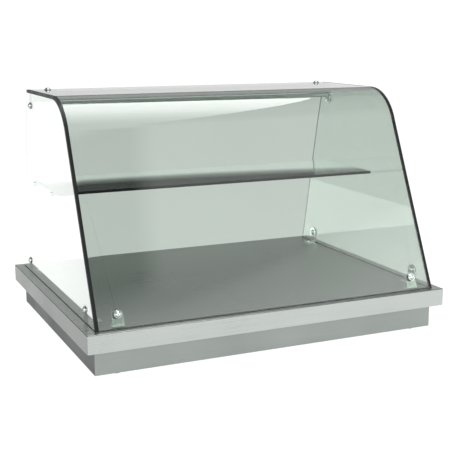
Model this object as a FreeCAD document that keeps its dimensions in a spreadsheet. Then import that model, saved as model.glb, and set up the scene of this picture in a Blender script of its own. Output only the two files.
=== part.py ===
import FreeCAD, Part
import math
import os
import Sketcher

# Countertop bakery display case, in millimetres.
# X runs left to right, Y from the customer's side (front) to the server's side (rear), Z up.
# The origin is the middle of the footprint, on the surface that the rubber feet stand on.

Vector = FreeCAD.Vector
Rotation = FreeCAD.Rotation
Placement = FreeCAD.Placement

DRIVING = {
    # steel base
    "case_width": 800.0,
    "case_depth": 605.0,
    "foot_lift": 2.0,
    "plinth_show": 50.5,
    "skirt_height": 37.0,
    "sheet_gauge": 1.5,
    "skirt_lip": 15.0,
    "skirt_round": 1.6,
    "plinth_inset_side": 19.5,
    "plinth_inset_end": 21.5,
    "plinth_flange": 22.0,
    "plinth_top_flange": 9.0,
    "corner_leg": 20.0,
    "corner_margin": 4.0,
    "stiffener_offset": 130.0,
    "hat_top": 30.0,
    "hat_drop": 25.0,
    "hat_flange": 14.0,
    "hat_end_gap": 6.0,
    # feet
    "foot_radius": 9.0,
    "foot_chamfer": 0.6,
    "foot_stem_radius": 3.0,
    "foot_barb_radius": 4.4,
    "foot_barb_length": 3.0,
    "foot_barb_taper": 0.5,
    "foot_hole_play": 0.15,
    "foot_setback": 45.0,
    # glass
    "glass_gauge": 6.0,
    "glass_inset_side": 21.0,
    "glass_inset_front": 13.0,
    "glass_height": 421.0,
    "front_lean": 24.8,
    "bend_radius": 105.0,
    "rear_bottom": 588.0,
    "rear_top": 497.0,
    "seal_gauge": 1.0,
    "seal_width": 7.0,
    "butt_gap": 0.4,
    # shelf
    "shelf_front": 258.0,
    "shelf_rear": 470.0,
    "shelf_top": 224.7,
    "shelf_side_gap": 1.5,
    "shelf_corner": 3.0,
    "pin_front": 308.0,
    "pin_rear": 455.0,
    "pin_reach": 12.0,
    "pin_radius": 2.0,
    "sleeve_radius": 3.2,
    "sleeve_short": 0.5,
    "pin_gap": 0.3,
    "pin_cap_radius": 4.5,
    "pin_cap_height": 2.0,
    "pin_cap_chamfer": 0.8,
    "collar_gauge": 1.2,
    # clips at the foot of the glass
    "clip_gauge": 2.0,
    "clip_width": 24.0,
    "clip_height": 38.0,
    "clip_foot": 24.0,
    "clip_screw_up": 26.0,
    "clip_screw_in": 14.0,
    "front_clip_screw_in": 16.0,
    "clip_front_at": 332.0,
    "clip_side_front": 82.0,
    "clip_side_rear": 526.0,
    "gasket_gauge": 1.0,
    "clip_bend": 2.6,
    "round_margin": 0.05,
    # fasteners
    "bolt_radius": 2.5,
    "bolt_play": 0.3,
    "head_radius": 7.8,
    "head_height": 4.6,
    "head_rim": 1.0,
    "washer_radius": 6.4,
    "washer_gauge": 0.8,
    "cap_floor": 1.2,
    "foot_head_radius": 4.6,
    "foot_head_height": 2.6,
    "foot_head_rim": 0.6,
    "nut_corner": 4.6,
    "nut_height": 4.0,
    "thread_spare": 1.5,
    # rear top corner
    "bracket_at": 466.0,
    "bracket_width": 25.0,
    "bracket_flange": 50.0,
    "bracket_drop": 41.0,
    "bracket_bolt_in": 33.0,
    "bracket_screw_down": 26.5,
    "top_rail_depth": 20.0,
    "top_rail_height": 16.0,
    "top_rail_wall": 1.5,
    "top_rail_end_gap": 0.5,
}

# Short names for places that many pieces share, as expressions of the sheet.
DECK = "(dims.foot_lift + dims.plinth_show + dims.skirt_height)"
HALF_W = "dims.case_width / 2"
HALF_D = "dims.case_depth / 2"
GLASS_X = "(dims.case_width / 2 - dims.glass_inset_side)"
INNER_X = "(dims.case_width / 2 - dims.glass_inset_side - dims.glass_gauge)"
GLASS_FOOT = f"({DECK} + dims.seal_gauge)"
GLASS_TOP = f"({DECK} + dims.glass_height)"
BEND_Y = ("(dims.glass_inset_front - dims.case_depth / 2 + dims.glass_height * tan(dims.front_lean)"
          " + dims.bend_radius * tan(45 - dims.front_lean / 2))")
BEND_Z = f"({GLASS_TOP} - dims.bend_radius)"
HOLE_R = "(dims.bolt_radius + dims.bolt_play)"
PIN_Z = f"({DECK} + dims.shelf_top - dims.glass_gauge - dims.pin_gap - dims.sleeve_radius)"
RAIL_TOP = f"({GLASS_TOP} - dims.glass_gauge - dims.gasket_gauge - dims.clip_gauge)"
FRONT_FACE_Y = (f"(dims.glass_inset_front - {HALF_D}"
                " + (dims.glass_gauge + dims.gasket_gauge) / cos(dims.front_lean))")
FRONT_SCREW_Y = f"({FRONT_FACE_Y} + dims.clip_screw_up * sin(dims.front_lean))"
FRONT_SCREW_Z = f"({DECK} + dims.clip_screw_up * cos(dims.front_lean))"
SIDE_SCREW_Z = f"({DECK} + dims.clip_screw_up)"
SIDE_FACE_X = f"({INNER_X} - dims.gasket_gauge)"
BOLT_X = f"({SIDE_FACE_X} - dims.bracket_bolt_in)"
BRACKET_SCREW_Z = f"({GLASS_TOP} - dims.glass_gauge - dims.gasket_gauge - dims.bracket_screw_down)"
GLASS_STACK = "(dims.glass_gauge + dims.gasket_gauge)"

UP = Rotation(Vector(0, 0, 1), 0)
DOWN = Rotation(Vector(1, 0, 0), 180)

# The six clips at the foot of the glass.
CLIP_SPOTS = {
    # name: (X, Y, turn about Z, leans with the front glass)
    "front_clip_left": ("-dims.clip_front_at", FRONT_FACE_Y, 90, True),
    "front_clip_right": ("dims.clip_front_at", FRONT_FACE_Y, 90, True),
    "left_clip_front": (f"-{SIDE_FACE_X}", f"dims.clip_side_front - {HALF_D}", 0, False),
    "left_clip_rear": (f"-{SIDE_FACE_X}", f"dims.clip_side_rear - {HALF_D}", 0, False),
    "right_clip_front": (SIDE_FACE_X, f"dims.clip_side_front - {HALF_D}", 180, False),
    "right_clip_rear": (SIDE_FACE_X, f"dims.clip_side_rear - {HALF_D}", 180, False),
}

# How close two lengths are to count as equal, and the least that a cut removes.
TOUCH = 0.01
LEAST_CUT = 0.001

doc = FreeCAD.newDocument("display_case")
dims = doc.addObject("Spreadsheet::Sheet", "dims")
dims.Label = "dims"
for row, (alias, number) in enumerate(DRIVING.items(), start=1):
    dims.set(f"A{row}", alias)
    dims.set(f"B{row}", str(number))
    dims.setAlias(f"B{row}", alias)
doc.recompute()

nodes = []


def size(expression):
    """The number that an expression of the sheet comes to."""
    return float(dims.evalExpression(str(expression).replace("dims.", "")))


def node(thing, label):
    """Gives a finished sub-part the name that its file has."""
    thing.Label = label
    nodes.append(thing)
    return thing


def bind(thing, **expressions):
    for name, expression in expressions.items():
        thing.setExpression(name.replace("__", "."), str(expression))


def put(thing, x="0", y="0", z="0", turn=None):
    """Places a piece; each coordinate stays bound to the sheet."""
    if turn is not None:
        thing.Placement = Placement(Vector(0, 0, 0), turn)
    bind(thing, Placement__Base__x=x, Placement__Base__y=y, Placement__Base__z=z)
    return thing


def new_body(name):
    return doc.addObject("PartDesign::Body", name)


def new_sketch(body, name, role, shift="0", turn=None):
    """A sketch on one of the body's own planes, moved along the plane's normal by shift."""
    sketch = body.newObject("Sketcher::SketchObject", name)
    plane = next(item for item in body.Origin.OriginFeatures if item.Role == role)
    sketch.AttachmentSupport = [(plane, "")]
    sketch.MapMode = "FlatFace"
    if turn is not None:
        sketch.AttachmentOffset = Placement(Vector(0, 0, 0), turn)
    sketch.setExpression("AttachmentOffset.Base.z", str(shift))
    return sketch


def pin_point(sketch, geometry, end, x, y, tag):
    """Fixes one point of a sketch at two bound distances from the sketch's origin."""
    for kind, expression in (("DistanceX", x), ("DistanceY", y)):
        index = sketch.addConstraint(
            Sketcher.Constraint(kind, -1, 1, geometry, end, size(expression)))
        name = f"{tag}{kind[-1]}"
        sketch.renameConstraint(index, name)
        sketch.setExpression(f"Constraints.{name}", str(expression))


def outline(sketch, points):
    """A closed outline. A point is (x, y), or (x, y, radius, cx, cy) where the edge that
    leaves it is an arc of that radius about that centre."""
    spots = [Vector(size(p[0]), size(p[1]), 0) for p in points]
    edges, ends = [], []
    for i, point in enumerate(points):
        start, end = spots[i], spots[(i + 1) % len(points)]
        if len(point) == 2:
            edges.append(sketch.addGeometry(Part.LineSegment(start, end)))
            ends.append((1, 2))
            continue
        centre = Vector(size(point[3]), size(point[4]), 0)
        circle = Part.Circle(centre, Vector(0, 0, 1), size(point[2]))
        first, last = (math.atan2(p.y - centre.y, p.x - centre.x) for p in (start, end))
        anticlockwise = (last - first) % (2 * math.pi) < math.pi
        limits = (first, last) if anticlockwise else (last, first)
        edges.append(sketch.addGeometry(Part.ArcOfCircle(circle, *limits)))
        ends.append((1, 2) if anticlockwise else (2, 1))
    for i, point in enumerate(points):
        after = (i + 1) % len(points)
        pin_point(sketch, edges[i], ends[i][0], point[0], point[1], f"p{i}")
        sketch.addConstraint(
            Sketcher.Constraint("Coincident", edges[i], ends[i][1], edges[after], ends[after][0]))
        if len(point) > 2:
            index = sketch.addConstraint(Sketcher.Constraint("Radius", edges[i], size(point[2])))
            sketch.renameConstraint(index, f"bend{i}")
            sketch.setExpression(f"Constraints.bend{i}", str(point[2]))


def block_outline(sketch, half_x, half_y):
    outline(sketch, [(f"-({half_x})", f"-({half_y})"), (half_x, f"-({half_y})"),
                     (half_x, half_y), (f"-({half_x})", half_y)])


def circles(sketch, spots, radius):
    for i, (x, y) in enumerate(spots):
        ring = sketch.addGeometry(
            Part.Circle(Vector(size(x), size(y), 0), Vector(0, 0, 1), size(radius)))
        pin_point(sketch, ring, 3, x, y, f"c{i}")
        index = sketch.addConstraint(Sketcher.Constraint("Radius", ring, size(radius)))
        sketch.renameConstraint(index, f"r{i}")
        sketch.setExpression(f"Constraints.r{i}", str(radius))


def pad(body, sketch, length, midplane=False):
    feature = body.newObject("PartDesign::Pad", f"{sketch.Name}_pad")
    feature.Profile = sketch
    feature.Midplane = midplane
    bind(feature, Length=length)
    doc.recompute()
    return feature


def pocket(body, sketch, length, midplane=False, reverse=False):
    """Cuts a pocket, and makes sure that it has cut."""
    before = body.Shape.Volume
    feature = body.newObject("PartDesign::Pocket", f"{sketch.Name}_cut")
    feature.Profile = sketch
    feature.Midplane = midplane
    feature.Reversed = reverse
    bind(feature, Length=length)
    doc.recompute()
    if body.Shape.Volume > before - LEAST_CUT:
        raise RuntimeError(f"{sketch.Name} cuts nothing")
    return feature


def round_edges(body, name, radius, wanted):
    """Fillets the edges that the test picks."""
    base = body.Tip
    names = [f"Edge{i}" for i, edge in enumerate(base.Shape.Edges, start=1) if wanted(edge)]
    feature = body.newObject("PartDesign::Fillet", name)
    feature.Base = (base, names)
    bind(feature, Radius=radius)
    doc.recompute()
    return feature


def turned(name, points):
    """A body of revolution about its own Z axis, from a half outline of (radius, height)."""
    body = new_body(name)
    sketch = new_sketch(body, f"{name}_half", "XZ_Plane")
    outline(sketch, points)
    feature = body.newObject("PartDesign::Revolution", f"{name}_turn")
    feature.Profile = sketch
    feature.ReferenceAxis = (sketch, ["V_Axis"])
    feature.Angle = 360.0
    doc.recompute()
    return body


def group(name, pieces):
    """Identical pieces that share one node."""
    bundle = doc.addObject("Part::Compound", name)
    bundle.Links = pieces
    return node(bundle, name)


# Steel base

def deck_tray():
    """One folded sheet: display deck, skirt on all four sides and a lip turned in below."""
    body = new_body("deck_tray")
    base = f"{DECK} - dims.skirt_height"
    blank = new_sketch(body, "deck_blank", "XY_Plane", base)
    block_outline(blank, HALF_W, HALF_D)
    pad(body, blank, "dims.skirt_height")
    top, high = size(DECK), size("dims.skirt_height")
    round_edges(body, "deck_round", "dims.skirt_round",
                lambda edge: edge.BoundBox.ZMin > top - TOUCH
                or edge.BoundBox.ZLength > high - TOUCH)
    mouth = new_sketch(body, "deck_mouth", "XY_Plane", base)
    block_outline(mouth, f"{HALF_W} - dims.skirt_lip", f"{HALF_D} - dims.skirt_lip")
    pocket(body, mouth, "dims.skirt_height - dims.sheet_gauge", reverse=True)
    hollow = new_sketch(body, "deck_hollow", "XY_Plane", f"{base} + dims.sheet_gauge")
    block_outline(hollow, f"{HALF_W} - dims.sheet_gauge", f"{HALF_D} - dims.sheet_gauge")
    pocket(body, hollow, "dims.skirt_height - 2 * dims.sheet_gauge", reverse=True)
    drill = new_sketch(body, "deck_screw_holes", "XY_Plane", f"{DECK} - dims.sheet_gauge")
    circles(drill, [spot[:2] for spot in clip_foot_screws()], HOLE_R)
    pocket(body, drill, "dims.sheet_gauge", reverse=True)
    node(body, "deck_tray")


def plinth_panel(label, plane, facing, half, web_length, flange_length):
    """Plinth panel: a web with a wide flange below and a narrow one above, turned in.
    plane is the one that its section is drawn on, and half is the web's distance out."""
    body = new_body(label)
    foot, top = "dims.foot_lift", f"({DECK} - dims.sheet_gauge)"
    outer, skin = f"{facing} * {half}", f"{facing} * ({half} - dims.sheet_gauge)"
    web = new_sketch(body, f"{label}_web", plane)
    outline(web, [(outer, foot), (skin, foot), (skin, top), (outer, top)])
    pad(body, web, web_length, midplane=True)
    for name, low, reach in (("lower", foot, "dims.plinth_flange"),
                             ("upper", f"{top} - dims.sheet_gauge", "dims.plinth_top_flange")):
        tip, high = f"{facing} * ({half} - {reach})", f"{low} + dims.sheet_gauge"
        flange = new_sketch(body, f"{label}_{name}", plane)
        outline(flange, [(outer, low), (tip, low), (tip, high), (outer, high)])
        pad(body, flange, flange_length, midplane=True)
    return body


def plinth_end_panel(label, facing):
    """Front or rear plinth panel, across the whole width, with holes for two feet."""
    depth = f"({HALF_D} - dims.plinth_inset_end)"
    width = "dims.case_width - 2 * dims.plinth_inset_side"
    body = plinth_panel(label, "YZ_Plane", facing, depth, width,
                        f"{width} - 2 * dims.sheet_gauge - 2 * dims.butt_gap")
    holes = new_sketch(body, f"{label}_foot_holes", "XY_Plane", "dims.foot_lift")
    across = f"({HALF_W} - dims.plinth_inset_side - dims.foot_setback)"
    line = f"{facing} * ({depth} - dims.plinth_flange / 2 - dims.sheet_gauge / 2)"
    circles(holes, [(f"-{across}", line), (across, line)],
            "dims.foot_stem_radius + dims.foot_hole_play")
    pocket(body, holes, "dims.sheet_gauge", reverse=True)
    node(body, label)


def plinth_side_panel(label, facing):
    """Left or right plinth panel, its web butted between the end panels."""
    run = "dims.case_depth - 2 * dims.plinth_inset_end"
    body = plinth_panel(label, "XZ_Plane", facing, f"({HALF_W} - dims.plinth_inset_side)",
                        f"{run} - 2 * dims.sheet_gauge",
                        f"{run} - 2 * dims.plinth_flange - 2 * dims.butt_gap")
    node(body, label)


def plinth_corner(label, side, end):
    """Angle spot-welded inside a corner of the plinth."""
    body = new_body(label)
    x = f"({HALF_W} - dims.plinth_inset_side - dims.sheet_gauge)"
    y = f"({HALF_D} - dims.plinth_inset_end - dims.sheet_gauge)"
    x_in, y_in = f"({x} - dims.sheet_gauge)", f"({y} - dims.sheet_gauge)"
    x_leg, y_leg = f"({x} - dims.corner_leg)", f"({y} - dims.corner_leg)"
    profile = new_sketch(body, f"{label}_profile", "XY_Plane",
                         "dims.foot_lift + dims.sheet_gauge + dims.corner_margin")
    corners = [(x, y), (x_leg, y), (x_leg, y_in), (x_in, y_in), (x_in, y_leg), (x, y_leg)]
    outline(profile, [(f"{side} * {a}", f"{end} * {b}") for a, b in corners])
    pad(body, profile, "dims.plinth_show + dims.skirt_height - 3 * dims.sheet_gauge"
                       " - 2 * dims.corner_margin")
    node(body, label)


def deck_stiffener(label, side):
    """Top-hat channel bonded under the deck, from the front panel to the rear one."""
    body = new_body(label)
    top = f"({DECK} - dims.sheet_gauge)"
    profile = new_sketch(body, f"{label}_profile", "XZ_Plane")
    half, wall = "dims.hat_top / 2", "dims.sheet_gauge"
    brim = f"({half} + dims.hat_flange)"
    low = f"{top} - dims.hat_drop"
    right = [(brim, top), (brim, f"{top} - {wall}"), (half, f"{top} - {wall}"), (half, low)]
    inner = [(f"{half} - {wall}", f"{low} + {wall}"), (f"{half} - {wall}", top)]
    path = right + [(f"-({x})", z) for x, z in reversed(right)]
    path += [(f"-({x})", z) for x, z in reversed(inner)] + inner
    outline(profile, [(f"{side} * dims.stiffener_offset + {x}", z) for x, z in path])
    pad(body, profile, "dims.case_depth - 2 * dims.plinth_inset_end - 2 * dims.plinth_flange"
                       " - 2 * dims.hat_end_gap", midplane=True)
    node(body, label)


def rubber_foot(label, side, end):
    """Push-in foot: pad below the flange, stem through it and a barb above."""
    sill = "dims.foot_lift + dims.sheet_gauge"
    body = turned(label, [
        ("0", "0"), ("dims.foot_radius - dims.foot_chamfer", "0"),
        ("dims.foot_radius", "dims.foot_chamfer"), ("dims.foot_radius", "dims.foot_lift"),
        ("dims.foot_stem_radius", "dims.foot_lift"),
        ("dims.foot_stem_radius", sill), ("dims.foot_barb_radius", sill),
        ("dims.foot_stem_radius - dims.foot_barb_taper", f"{sill} + dims.foot_barb_length"),
        ("0", f"{sill} + dims.foot_barb_length")])
    put(body,
        f"{side} * ({HALF_W} - dims.plinth_inset_side - dims.foot_setback)",
        f"{end} * ({HALF_D} - dims.plinth_inset_end - dims.plinth_flange / 2"
        " - dims.sheet_gauge / 2)")
    node(body, label)


# Glass

def glass_profile(offset, foot, rear):
    """Foot, slope, bend and top of a line that runs offset inside the front glass's face.
    rear is the Y at which its top ends. Points are (Y, Z)."""
    radius = f"(dims.bend_radius - {offset})"
    foot_y = (f"(dims.glass_inset_front - {HALF_D} + ({foot} - {DECK}) * tan(dims.front_lean)"
              f" + {offset} / cos(dims.front_lean))")
    slope_y = f"({BEND_Y} - {radius} * cos(dims.front_lean))"
    slope_z = f"({BEND_Z} + {radius} * sin(dims.front_lean))"
    return [(foot_y, foot), (slope_y, slope_z, radius, BEND_Y, BEND_Z),
            (BEND_Y, f"({BEND_Z} + {radius})"), (rear, f"({BEND_Z} + {radius})")]


def rear_edge(height):
    """Y of the side glasses' leaning rear edge at a height above the deck."""
    return (f"(dims.rear_bottom - {HALF_D} - (dims.rear_bottom - dims.rear_top)"
            f" * ({height}) / dims.glass_height)")


def front_glass():
    """One bent pane: slanted front, bend and flat top."""
    body = new_body("front_glass")
    outer = glass_profile("0", GLASS_FOOT, f"dims.rear_top - {HALF_D}")
    inner = glass_profile("dims.glass_gauge", GLASS_FOOT, f"dims.rear_top - {HALF_D}")
    radius = "(dims.bend_radius - dims.glass_gauge)"
    slope = inner[1][:2]
    bend = (inner[2][0], inner[2][1], radius, BEND_Y, BEND_Z)
    profile = new_sketch(body, "front_glass_profile", "YZ_Plane")
    outline(profile, outer + [inner[3], bend, slope, inner[0]])
    pad(body, profile, f"2 * {GLASS_X}", midplane=True)
    top_holes = new_sketch(body, "front_glass_top_holes", "XY_Plane", GLASS_TOP)
    circles(top_holes, [(x, f"dims.bracket_at - {HALF_D}") for x in (f"-{BOLT_X}", BOLT_X)],
            HOLE_R)
    pocket(body, top_holes, "dims.glass_gauge")
    foot_holes = new_sketch(body, "front_glass_foot_holes", "XZ_Plane",
                            f"{FRONT_SCREW_Z} * tan(dims.front_lean) - {FRONT_SCREW_Y}",
                            Rotation(Vector(1, 0, 0), -size("dims.front_lean")))
    along = f"({FRONT_SCREW_Z} / cos(dims.front_lean))"
    circles(foot_holes, [("-dims.clip_front_at", along), ("dims.clip_front_at", along)], HOLE_R)
    pocket(body, foot_holes, "4 * dims.glass_gauge", midplane=True)
    node(body, "front_glass")


def side_glass(label, side):
    """Flat end pane. Its front edge follows the bent pane and its rear edge leans forward."""
    body = new_body(label)
    offset = "(dims.glass_gauge + dims.butt_gap)"
    top = f"(dims.glass_height - {offset})"
    points = glass_profile(offset, GLASS_FOOT, rear_edge(top))
    points.append((rear_edge("dims.seal_gauge"), GLASS_FOOT))
    low = INNER_X if side > 0 else f"-{GLASS_X}"
    profile = new_sketch(body, f"{label}_profile", "YZ_Plane", low)
    outline(profile, points)
    pad(body, profile, "dims.glass_gauge")
    holes = new_sketch(body, f"{label}_holes", "YZ_Plane", low)
    spots = [(f"dims.{name} - {HALF_D}", SIDE_SCREW_Z) for name in
             ("clip_side_front", "clip_side_rear")]
    spots.append((f"dims.bracket_at - {HALF_D}", BRACKET_SCREW_Z))
    circles(holes, spots, HOLE_R)
    pocket(body, holes, "dims.glass_gauge", reverse=True)
    pins = new_sketch(body, f"{label}_pin_holes", "YZ_Plane", low)
    circles(pins, [(f"dims.{name} - {HALF_D}", PIN_Z) for name in ("pin_front", "pin_rear")],
            "dims.pin_radius + dims.bolt_play")
    pocket(body, pins, "dims.glass_gauge", reverse=True)
    node(body, label)


def shelf_glass():
    """Flat shelf with its corners rounded and its edges eased."""
    body = new_body("shelf_glass")
    plan = new_sketch(body, "shelf_plan", "XY_Plane", f"{DECK} + dims.shelf_top - dims.glass_gauge")
    half = f"({INNER_X} - dims.shelf_side_gap)"
    front, rear = f"dims.shelf_front - {HALF_D}", f"dims.shelf_rear - {HALF_D}"
    outline(plan, [(f"-{half}", front), (half, front), (half, rear), (f"-{half}", rear)])
    pad(body, plan, "dims.glass_gauge")
    tall = size("dims.glass_gauge")
    round_edges(body, "shelf_corners", "dims.shelf_corner",
                lambda edge: abs(edge.BoundBox.ZLength - tall) < TOUCH)
    node(body, "shelf_glass")


def side_seal(label, side):
    """Thin black strip that a side glass stands on."""
    strip = doc.addObject("Part::Box", label)
    start = (f"(dims.glass_inset_front - {HALF_D} + (dims.glass_gauge + dims.butt_gap)"
             " / cos(dims.front_lean))")
    bind(strip, Length="dims.seal_width", Width=f"{rear_edge('0')} - {start}",
         Height="dims.seal_gauge")
    low = f"{INNER_X} - (dims.seal_width - dims.glass_gauge) / 2" if side > 0 else \
        f"-{GLASS_X} - (dims.seal_width - dims.glass_gauge) / 2"
    put(strip, low, start, DECK)
    node(strip, label)


def front_seal():
    strip = doc.addObject("Part::Box", "glass_seal_front")
    bind(strip, Length=f"2 * {GLASS_X}", Width="dims.glass_gauge / cos(dims.front_lean)",
         Height="dims.seal_gauge")
    put(strip, f"-{GLASS_X}", f"dims.glass_inset_front - {HALF_D}", DECK)
    node(strip, "glass_seal_front")


# Clips at the foot of the glass. Each is made with its glass face at X = 0 and its foot
# running along +X, and is then turned into place.

def foot_screw_in(leans):
    """How far a clip's deck screw stands from the clip's glass face."""
    return "dims.front_clip_screw_in" if leans else "dims.clip_screw_in"


def clip_foot_screws():
    """Places of the six screws that hold the clips to the deck."""
    spots = []
    for x, y, turn, leans in CLIP_SPOTS.values():
        reach = foot_screw_in(leans)
        dx, dy = {0: (reach, "0"), 90: ("0", reach), 180: (f"-{reach}", "0")}[turn]
        spots.append((f"{x} + {dx}", f"{y} + {dy}", DECK))
    return spots


def glass_clip(label, x, y, turn, leans):
    """Folded steel clip with a round-topped tab against the glass and a foot on the deck."""
    body = new_body(label)
    lean = "dims.front_lean" if leans else "0"
    wall, tall = "dims.clip_gauge", "dims.clip_height"
    rise = f"({wall} * (1 + sin({lean})) / cos({lean}))"
    profile = new_sketch(body, f"{label}_profile", "XZ_Plane")
    outline(profile, [
        ("0", "0"), ("dims.clip_foot", "0"), ("dims.clip_foot", wall),
        (f"{wall} * cos({lean}) + {rise} * sin({lean})", wall),
        (f"{tall} * sin({lean}) + {wall} * cos({lean})",
         f"{tall} * cos({lean}) - {wall} * sin({lean})"),
        (f"{tall} * sin({lean})", f"{tall} * cos({lean})")])
    pad(body, profile, "dims.clip_width", midplane=True)
    angle = math.radians(size(lean))
    axis = Vector(math.cos(angle), 0, -math.sin(angle))
    tip = size(tall)

    def tab_corner(edge):
        way = edge.Vertexes[-1].Point - edge.Vertexes[0].Point
        along = edge.BoundBox.Center.x * math.sin(angle) + edge.BoundBox.Center.z * math.cos(angle)
        return (abs(way.Length - size(wall)) < TOUCH and along > tip - TOUCH
                and abs(abs(way.dot(axis)) - way.Length) < TOUCH)

    def foot_corner(edge):
        way = edge.Vertexes[-1].Point - edge.Vertexes[0].Point
        return (abs(abs(way.z) - size(wall)) < TOUCH and abs(way.Length - size(wall)) < TOUCH
                and edge.BoundBox.Center.x > size("dims.clip_foot") - TOUCH)

    def outer_fold(edge):
        return edge.BoundBox.YLength > size(wall) and edge.BoundBox.Center.Length < TOUCH

    round_edges(body, f"{label}_tab_round", "dims.clip_width / 2 - dims.round_margin", tab_corner)
    round_edges(body, f"{label}_foot_round", "dims.clip_bend", foot_corner)
    round_edges(body, f"{label}_fold", "dims.clip_gauge", outer_fold)
    foot_hole = new_sketch(body, f"{label}_foot_hole", "XY_Plane")
    circles(foot_hole, [(foot_screw_in(leans), "0")], HOLE_R)
    pocket(body, foot_hole, "dims.clip_gauge", reverse=True)
    tab_hole = new_sketch(body, f"{label}_tab_hole", "YZ_Plane", "0",
                          Rotation(Vector(1, 0, 0), size(lean)))
    circles(tab_hole, [("0", "dims.clip_screw_up")], HOLE_R)
    pocket(body, tab_hole, "4 * dims.clip_gauge", midplane=True)
    put(body, x, y, DECK, Rotation(Vector(0, 0, 1), turn))
    node(body, label)


def clip_point(x, y, turn, leans, up, out):
    """A point of a clip: up along its tab from the deck and out from its glass face."""
    lean = "dims.front_lean" if leans else "0"
    along = f"(({up}) * sin({lean}) - ({out}) * cos({lean}))"
    z = f"{DECK} + ({up}) * cos({lean}) + ({out}) * sin({lean})"
    dx, dy = {0: (along, "0"), 90: ("0", along), 180: (f"-{along}", "0")}[turn]
    return f"{x} + {dx}", f"{y} + {dy}", z


def facing_out(turn, leans):
    """Turns a piece made along +Z to point out through the glass, its +X up the glass."""
    lean = size("dims.front_lean") if leans else 0
    return (Rotation(Vector(0, 0, 1), turn).multiply(Rotation(Vector(0, 1, 0), lean))
            .multiply(Rotation(Vector(0, 1, 0), -90)))


def copies(pattern, label, places):
    """One node of identical pieces: links to the pattern at (x, y, z, rotation)."""
    links = []
    for i, (x, y, z, turn) in enumerate(places):
        link = doc.addObject("App::Link", f"{label}_{i}")
        link.LinkedObject = pattern
        links.append(put(link, x, y, z, turn))
    return group(label, links)


# Fasteners. Each pattern points along +Z, with its bearing face at Z = 0.

def domed_screw(name, radius, height, rim, shank, reach):
    """Round-headed screw: head above Z = 0, shank below."""
    crown = f"({height} - {rim})"
    sphere = f"({radius} * {radius} + {crown} * {crown}) / (2 * {crown})"
    return turned(name, [
        ("0", f"-({reach})"), (shank, f"-({reach})"), (shank, "0"), (radius, "0"),
        (radius, rim, sphere, "0", f"{height} - {sphere}"), ("0", height)])


def cap_nut(name):
    """Blind round nut whose dome faces +Z and whose bore opens at Z = 0."""
    crown = "(dims.head_height - dims.head_rim)"
    sphere = f"(dims.head_radius * dims.head_radius + {crown} * {crown}) / (2 * {crown})"
    bore = "dims.head_height - dims.cap_floor"
    return turned(name, [
        ("0", bore), ("dims.bolt_radius", bore), ("dims.bolt_radius", "0"),
        ("dims.head_radius", "0"),
        ("dims.head_radius", "dims.head_rim", sphere, "0", f"dims.head_height - {sphere}"),
        ("0", "dims.head_height")])


def ring(name, outer, inner, height):
    return turned(name, [(inner, "0"), (outer, "0"), (outer, height), (inner, height)])


def hex_nut(name):
    """Plain nut, from Z = 0 up."""
    solid = doc.addObject("Part::Prism", f"{name}_hex")
    solid.Polygon = 6
    bind(solid, Circumradius="dims.nut_corner", Height="dims.nut_height")
    bore = doc.addObject("Part::Cylinder", f"{name}_bore")
    bind(bore, Radius="dims.bolt_radius", Height="dims.nut_height")
    nut = doc.addObject("Part::Cut", name)
    nut.Base, nut.Tool = solid, bore
    doc.recompute()
    return nut


def bracket_screw_place(side, out):
    """Place of the screw from a rear bracket through the side glass, out from the tab."""
    x = f"{side} * ({SIDE_FACE_X} + {out})"
    return (x, f"dims.bracket_at - {HALF_D}", BRACKET_SCREW_Z)


def glass_fasteners():
    """Screws, washers and cap nuts that clamp the clips and brackets to the glass."""
    screw = domed_screw("glass_screw", "dims.head_radius", "dims.head_height", "dims.head_rim",
                        "dims.bolt_radius",
                        "dims.washer_gauge + dims.glass_gauge + dims.gasket_gauge"
                        " + dims.clip_gauge + dims.head_height - dims.cap_floor")
    washer = ring("glass_washer", "dims.washer_radius", HOLE_R, "dims.washer_gauge")
    cap = cap_nut("cap_nut")
    heads, washers, caps = [], [], []
    for spot in CLIP_SPOTS.values():
        out, back = facing_out(*spot[2:]), facing_out(*spot[2:]).multiply(DOWN)
        up = "dims.clip_screw_up"
        heads.append((*clip_point(*spot, up, f"{GLASS_STACK} + dims.washer_gauge"), out))
        washers.append((*clip_point(*spot, up, GLASS_STACK), out))
        caps.append((*clip_point(*spot, up, "-dims.clip_gauge"), back))
    for side, turn in ((-1, 0), (1, 180)):
        out, back = facing_out(turn, False), facing_out(turn, False).multiply(DOWN)
        heads.append((*bracket_screw_place(side, f"{GLASS_STACK} + dims.washer_gauge"), out))
        washers.append((*bracket_screw_place(side, GLASS_STACK), out))
        caps.append((*bracket_screw_place(side, "-dims.clip_gauge"), back))
    copies(screw, "glass_screws", heads)
    copies(washer, "glass_washers", washers)
    copies(cap, "glass_cap_nuts", caps)


def deck_fasteners():
    """Screws and nuts that hold the clips to the deck."""
    screw = domed_screw("deck_screw", "dims.foot_head_radius", "dims.foot_head_height",
                        "dims.foot_head_rim", "dims.bolt_radius",
                        "dims.clip_gauge + dims.sheet_gauge + dims.nut_height"
                        " + dims.thread_spare")
    nut = hex_nut("deck_nut")
    spots = clip_foot_screws()
    copies(screw, "deck_screws", [(x, y, f"{z} + dims.clip_gauge", UP) for x, y, z in spots])
    under = f"{DECK} - dims.sheet_gauge - dims.nut_height"
    copies(nut, "deck_nuts", [(x, y, under, UP) for x, y, _ in spots])


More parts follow.
